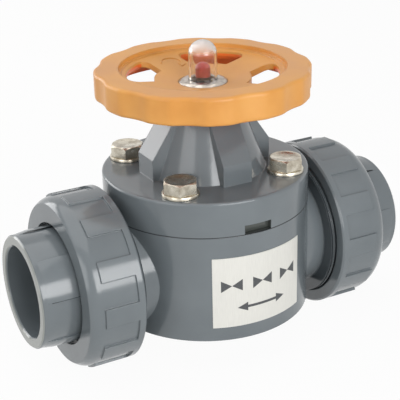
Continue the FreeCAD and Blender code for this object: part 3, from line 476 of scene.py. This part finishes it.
def boltMesh(b):
    # Hexagon head with its 30 degree chamfer and a shallow dished top, plain shank and thread root
    work = bmesh.new()
    angles = [2 * math.pi * i / b["sides"] for i in range(b["sides"])]

    def ring(radius, height):
        return [work.verts.new((radius * math.cos(a) * mm, radius * math.sin(a) * mm, height * mm))
                for a in angles]

    def hexRing(inset, height, chamfer=0.0):
        # The chamfer cone cuts deeper towards the corners
        row = []
        for a in angles:
            side = hexRadius(a, b["flats"])
            drop = max(0.0, side - b["land"]) * chamfer
            row.append(work.verts.new(((side - inset) * math.cos(a) * mm, (side - inset) * math.sin(a) * mm,
                                       (height - drop) * mm)))
        return row

    foot, top, dish = b["foot"], b["top"], b["top"] - b["dishDepth"]
    closeBands(work, [
        ring(b["root"] - b["taper"], b["end"]), ring(b["root"], b["end"] + 1),
        ring(b["root"], b["threadTop"] - 1), ring(b["radius"], b["threadTop"]), ring(b["radius"], foot),
        hexRing(b["corner"], foot), hexRing(0, foot + b["corner"]),
        hexRing(0, top - 0.1, math.tan(math.radians(b["chamferTurn"]))), ring(b["land"], top),
        ring(b["dishRadius"], top), ring(b["dishRadius"] - b["dishEdge"], dish), ring(b["middle"], dish)])
    return meshFrom(work, "boltTemplate", 28)


def washerMesh(w):
    # Flat ring with its upper edge rounded by the press
    work = bmesh.new()
    soft = w["roundness"]
    rows = [[work.verts.new((r * mm * math.cos(2 * math.pi * i / w["sides"]),
                             r * mm * math.sin(2 * math.pi * i / w["sides"]), z * mm))
             for i in range(w["sides"])]
            for r, z in ((w["inner"], w["low"]), (w["outer"] - soft * 0.4, w["low"]),
                         (w["outer"], w["low"] + soft * 0.4), (w["outer"], w["high"] - soft),
                         (w["outer"] - soft * 0.3, w["high"] - soft * 0.3), (w["outer"] - soft, w["high"]),
                         (w["inner"] + 0.2, w["high"]), (w["inner"], w["high"] - 0.2))]
    for lower, upper in zip(rows, rows[1:] + rows[:1]):
        bridge(work, lower, upper)
    return meshFrom(work, "washerTemplate", 40)


def spread(name, template, spots, material, turn, thread=None):
    # Geometry Nodes: the template on each spot, turned a little by a seeded random value,
    # with a helical ridge swept along the shank where a thread is given
    host = bpy.data.objects.new(name + "Host", bpy.data.meshes.new(name + "Host"))
    host.data.from_pydata([[c * mm for c in spot] for spot in spots], [], [])
    source = bpy.data.objects.new(name + "Source", template)
    for item in (host, source):
        scene.collection.objects.link(item)
    tree = bpy.data.node_groups.new(name + "Tree", "GeometryNodeTree")
    face = tree.interface
    face.new_socket("Geometry", in_out="INPUT", socket_type="NodeSocketGeometry")
    values = {"Piece": ("Object", source), "Finish": ("Material", material),
              "Turn": ("Float", math.radians(turn)), "Seed": ("Int", 4)}
    if thread:
        values.update({"Thread Radius": ("Float", thread["radius"] * mm),
                       "Thread Depth": ("Float", thread["depth"] * mm),
                       "Thread Turns": ("Float", thread["length"] / thread["pitch"]),
                       "Thread Length": ("Float", thread["length"] * mm),
                       "Thread Start": ("Float", thread["start"] * mm)})
    inputs = {label: face.new_socket(label, in_out="INPUT", socket_type="NodeSocket" + kind).identifier
              for label, (kind, value) in values.items()}
    face.new_socket("Geometry", in_out="OUTPUT", socket_type="NodeSocketGeometry")
    entry = add(tree, "NodeGroupInput")
    shape = add(tree, "GeometryNodeObjectInfo", entry["Piece"])["Geometry"]
    if thread:
        spiral = add(tree, "GeometryNodeCurveSpiral", Resolution=22, Rotations=entry["Thread Turns"],
                     Start_Radius=entry["Thread Radius"], End_Radius=entry["Thread Radius"],
                     Height=entry["Thread Length"])
        ridge = add(tree, "GeometryNodeCurvePrimitiveCircle", Resolution=4, Radius=entry["Thread Depth"])
        swept = add(tree, "GeometryNodeCurveToMesh", Curve=spiral, Profile_Curve=ridge, Fill_Caps=True)
        lift = add(tree, "ShaderNodeCombineXYZ", Z=entry["Thread Start"])
        raised = add(tree, "GeometryNodeTransform", swept, Translation=lift)
        joined = add(tree, "GeometryNodeJoinGeometry", raised)[0]
        plug(tree, joined.node.inputs[0], shape)
        shape = joined
    back = add(tree, "ShaderNodeMath", entry["Turn"], -1.0, operation="MULTIPLY")
    angle = add(tree, "FunctionNodeRandomValue", data_type="FLOAT", Min_001=back, Max_001=entry["Turn"],
                Seed=entry["Seed"])[1]
    spin = add(tree, "ShaderNodeCombineXYZ", Z=angle)
    placed = add(tree, "GeometryNodeInstanceOnPoints", entry["Geometry"], Instance=shape, Rotation=spin)
    real = add(tree, "GeometryNodeRealizeInstances", placed)
    painted = add(tree, "GeometryNodeSetMaterial", real, Material=entry["Finish"])
    add(tree, "NodeGroupOutput", painted)
    modifier = host.modifiers.new("spread", "NODES")
    modifier.node_group = tree
    for label, (kind, value) in values.items():
        modifier[inputs[label]] = value
    bpy.context.view_layer.update()
    evaluated = host.evaluated_get(bpy.context.evaluated_depsgraph_get())
    mesh = bpy.data.meshes.new_from_object(evaluated)
    mesh.name = name
    for item in (host, source):
        bpy.data.objects.remove(item)
    return mesh


offset = washerHigh.x - washer["outer"]
cornerSpots = [(x, y, 0) for x in (-offset, offset) for y in (-offset, offset)]
boltsMesh = spread("bonnetBolts", boltMesh(bolt), cornerSpots, stainless, bolt["turn"], bolt["thread"])
meshPiece("bonnetBolts", boltsMesh, stainless, "valve_body", ["bonnet_bolts"])
washersMesh = spread("boltWashers", washerMesh(washer), cornerSpots, stainless, washer["turn"])
meshPiece("boltWashers", washersMesh, stainless, "valve_body", ["bolt_washers"])
print("bolts:", len(boltsMesh.polygons), "faces")


# Raised turning arrow on one spoke of the wheel

turnMark = {
    "turn": 96.0, "reach": 31.0, "radius": 6.0, "line": 1.0, "sunk": 0.12, "height": 0.32, "bevel": 0.2,
    "from": 76.0, "to": -130.0, "overlap": 4.0, "head": 2.4, "headLength": 1.7, "steps": 48,
}


def turnArrow(m):
    # A bent bar and its arrow head, laid on the slope of the web
    work = bmesh.new()
    half, low, high, bevel = m["line"] / 2, -m["sunk"], m["height"], m["bevel"]
    profile = [(-half, low), (half, low), (half, high - bevel), (half - bevel, high), (bevel - half, high),
               (-half, high - bevel)]
    rows = []
    for step in range(m["steps"] + 1):
        angle = math.radians(m["from"] + (m["to"] - m["from"]) * step / m["steps"])
        cosine, sine = math.cos(angle), math.sin(angle)
        rows.append([work.verts.new(((m["radius"] + r) * cosine, (m["radius"] + r) * sine, h))
                     for r, h in profile])
    closeBands(work, rows)
    way = 1 if m["to"] > m["from"] else -1
    angle = math.radians(m["to"] - m["overlap"] * way)
    along = Vector((-math.sin(angle), math.cos(angle), 0)) * way
    out = Vector((math.cos(angle), math.sin(angle), 0))
    foot = out * m["radius"]
    outline = [foot - out * m["head"], foot + out * m["head"], foot + along * m["head"] * m["headLength"]]
    middle = sum(outline, Vector()) / 3
    closeBands(work, [[work.verts.new(middle + (spot - middle) * share + Vector((0, 0, h)))
                       for spot in outline]
                      for share, h in ((1, low), (1, high - bevel), (1 - bevel / m["head"] * 2, high))])
    tilt = Matrix.Rotation(-math.atan(wheelWeb["rise"]), 4, "Y")
    height = wheelWeb["hubTop"] + (m["reach"] - wheelWeb["hubRadius"]) * wheelWeb["rise"]
    turned = Matrix.Rotation(math.radians(m["turn"]), 4, "Z")
    spot = turned @ Matrix.Translation((m["reach"], 0, height)) @ tilt
    for vertex in work.verts:
        vertex.co = spot @ vertex.co * mm
    return meshPiece("turnArrow", meshFrom(work, "turnArrow", 35), markNylon, "wheel")


turnArrow(turnMark)
print("turning arrow on the wheel")


# Grip pads on the connectors, steep at the sides and run out to nothing at the socket's end

connectorPads = {
    "radius": 32.1, "root": 30.6, "barrel": 31.15, "foot": 89.5, "end": socketEnd - 2.9, "slope": 6.5,
    "bevel": 0.1, "span": 42.5, "steps": 24,
}


def endPads(end, side, m):
    # Cylinder patches over the moulded pads of one connector
    work = bmesh.new()
    nick = math.degrees(m["bevel"] / m["radius"])
    for pad in range(padCount):
        start = padStart[end] + pad * 360 / padCount
        turns = [start, start + nick, start + m["span"] - nick, start + m["span"]]
        turns[2:2] = [start + m["span"] * step / m["steps"] for step in range(1, m["steps"])]
        rows = []
        for turn in turns:
            angle = math.radians(turn)
            top = m["radius"] - (m["bevel"] if turn in (turns[0], turns[-1]) else 0)
            outline = ((m["foot"], m["root"]), (m["foot"], top), (m["end"] - m["slope"], top),
                       (m["end"], m["barrel"]), (m["end"], m["root"]))
            rows.append([work.verts.new((side * x * mm, r * math.sin(angle) * mm,
                                         (axisHeight + r * math.cos(angle)) * mm)) for x, r in outline])
        closeBands(work, rows)
    return meshPiece(end + "Pads", meshFrom(work, end + "Pads", 30), endPvc[end], end + "_end")


for end, side in (("inlet", -1), ("outlet", 1)):
    endPads(end, side, connectorPads)
print("grip pads on both connectors")


# Label print: a row of valve signs over a flow arrow, generic signs only

labelLow = spanOf("front_label")[0]
labelPrint = {
    "radius": drumRadius + 0.35, "thickness": 0.03, "middleTurn": -87.7, "reach": 32,
    "signHeight": labelLow.z + 24.5, "signHalf": 3.4, "signWidth": 6.0, "signSpacing": 18.0,
    "arrowHeight": labelLow.z + 11, "arrowLength": 30.0, "arrowHalf": 0.75,
    "headLength": 6.0, "headHalf": 2.6,
}


def wrapOutlines(name, outlines, p, material):
    # Flat outlines in (along, height) millimetres, cut fine and bent round the drum with a thin wall
    work = bmesh.new()
    for outline in outlines:
        work.faces.new([work.verts.new((u, v, 0)) for u, v in outline])
    bmesh.ops.triangulate(work, faces=work.faces)
    for cutAt in range(-p["reach"], p["reach"] + 1):
        geometry = work.verts[:] + work.edges[:] + work.faces[:]
        bmesh.ops.bisect_plane(work, geom=geometry, plane_co=(cutAt, 0, 0), plane_no=(1, 0, 0))
    bmesh.ops.remove_doubles(work, verts=work.verts, dist=1e-5)
    skin = bmesh.ops.extrude_face_region(work, geom=work.faces[:])
    for item in skin["geom"]:
        if isinstance(item, bmesh.types.BMVert):
            item.co.z = p["thickness"]
    for vertex in work.verts:
        u, v, out = vertex.co
        radius = p["radius"] + out
        turn = math.radians(p["middleTurn"]) + u / p["radius"]
        vertex.co = Vector((radius * math.cos(turn), radius * math.sin(turn), v)) * mm
    return meshPiece(name, meshFrom(work, name), material, "valve_body")


def valveSigns(p):
    # Two triangles point to point, as on a piping drawing, three times
    half, wide, y = p["signHalf"], p["signWidth"], p["signHeight"]
    outlines = []
    for middle in (-p["signSpacing"], 0, p["signSpacing"]):
        outlines += [[(middle - wide, y - half), (middle, y), (middle - wide, y + half)],
                     [(middle + wide, y + half), (middle, y), (middle + wide, y - half)]]
    return outlines


def flowArrow(p):
    # A bar with a head at each end, because such a valve takes flow either way
    tip, neck, y = p["arrowLength"] / 2, p["arrowLength"] / 2 - p["headLength"], p["arrowHeight"]
    return [[(-neck, y - p["arrowHalf"]), (neck, y - p["arrowHalf"]), (neck, y + p["arrowHalf"]),
             (-neck, y + p["arrowHalf"])],
            [(neck, y - p["headHalf"]), (tip, y), (neck, y + p["headHalf"])],
            [(-neck, y + p["headHalf"]), (-tip, y), (-neck, y - p["headHalf"])]]


wrapOutlines("labelSigns", valveSigns(labelPrint), labelPrint, ink)
wrapOutlines("labelArrow", flowArrow(labelPrint), labelPrint, ink)
print("label printed")


# Floor and sky: the camera sees both as an even white, and the object gets little light from them

studio = {
    "floor": "#E2E2E0", "roughness": 0.9, "halfSize": 4000, "gap": 0.5, "floorGlow": 0.95,
    "skyOnObject": 0.11,
}


def seenDirectly(tree):
    # 1 for what the camera sees itself, in a mirror or through the cap
    rays = add(tree, "ShaderNodeLightPath")
    indirect = add(tree, "ShaderNodeMath", rays["Is Glossy Ray"], rays["Is Transmission Ray"],
                   operation="MAXIMUM")
    return add(tree, "ShaderNodeMath", rays["Is Camera Ray"], indirect, operation="MAXIMUM")


floorMaterial, floorTree, floorShader = startMaterial("paleFloor")[:3]
setSockets(floorTree, floorShader, Base_Color=linear(studio["floor"]), Roughness=studio["roughness"])
glow = add(floorTree, "ShaderNodeEmission", Strength=1.0)
share = add(floorTree, "ShaderNodeMath", seenDirectly(floorTree), studio["floorGlow"], operation="MULTIPLY")
mixed = add(floorTree, "ShaderNodeMixShader", share, floorShader.outputs, glow)
plug(floorTree, floorTree.nodes["Material Output"].inputs[0], mixed)
floorHeight = cadBox[0][2] - studio["gap"] * mm
reach = studio["halfSize"] * mm
floorMesh = bpy.data.meshes.new("floor")
floorMesh.from_pydata([(x * reach, y * reach, floorHeight) for x, y in ((-1, -1), (1, -1), (1, 1), (-1, 1))],
                      [], [(0, 1, 2, 3)])
floorMesh.materials.append(floorMaterial)
floor = bpy.data.objects.new("floor", floorMesh)
scene.collection.objects.link(floor)

world = bpy.data.worlds.new("studio")
world.use_nodes = True
scene.world = world
sky = world.node_tree
strength = add(sky, "ShaderNodeMapRange", seenDirectly(sky), 0, 1, studio["skyOnObject"], 1.0)
setSockets(sky, sky.nodes["Background"], Color=(1, 1, 1, 1), Strength=strength)
print("floor and sky set")


# Lamps and camera

lamps = {
    "frontBox": {"place": (60, -1020, 380), "size": (750, 500), "power": 7.9},
    "leftBox": {"place": (-1000, -450, 350), "size": (600, 600), "power": 2.4},
    "overhead": {"place": (-200, 150, 1100), "size": (1600, 1400), "power": 8.4},
    "backBox": {"place": (-600, 1000, 450), "size": (800, 600), "power": 6},
}
lampAim = Vector((0, 0, 70)) * mm
for name, setting in lamps.items():
    data = bpy.data.lights.new(name, "AREA")
    data.shape = "RECTANGLE"
    data.size, data.size_y = (side * mm for side in setting["size"])
    data.energy = setting["power"]
    lamp = bpy.data.objects.new(name, data)
    lamp.location = Vector(setting["place"]) * mm
    lamp.rotation_euler = (lampAim - lamp.location).to_track_quat("-Z", "Y").to_euler()
    scene.collection.objects.link(lamp)

cameraView = {
    "place": (-275.97, -509.76, 305.54), "forward": (0.4334, 0.8114, -0.3921),
    "right": (0.8773, -0.4794, -0.0224), "lens": 100.1, "sensor": 36.0,
}
forward = Vector(cameraView["forward"]).normalized()
right = Vector(cameraView["right"])
right = (right - forward * right.dot(forward)).normalized()
up = right.cross(forward)
cameraData = bpy.data.cameras.new("camera")
cameraData.lens = cameraView["lens"]
cameraData.sensor_width = cameraView["sensor"]
cameraData.clip_start = 0.01
camera = bpy.data.objects.new("camera", cameraData)
turnMatrix = Matrix((right, up, -forward)).transposed().to_4x4()
camera.matrix_world = Matrix.Translation(Vector(cameraView["place"]) * mm) @ turnMatrix
scene.collection.objects.link(camera)
scene.camera = camera
scene.view_settings.view_transform = "Standard"
print("lamps and camera set")

print("pieces in place")
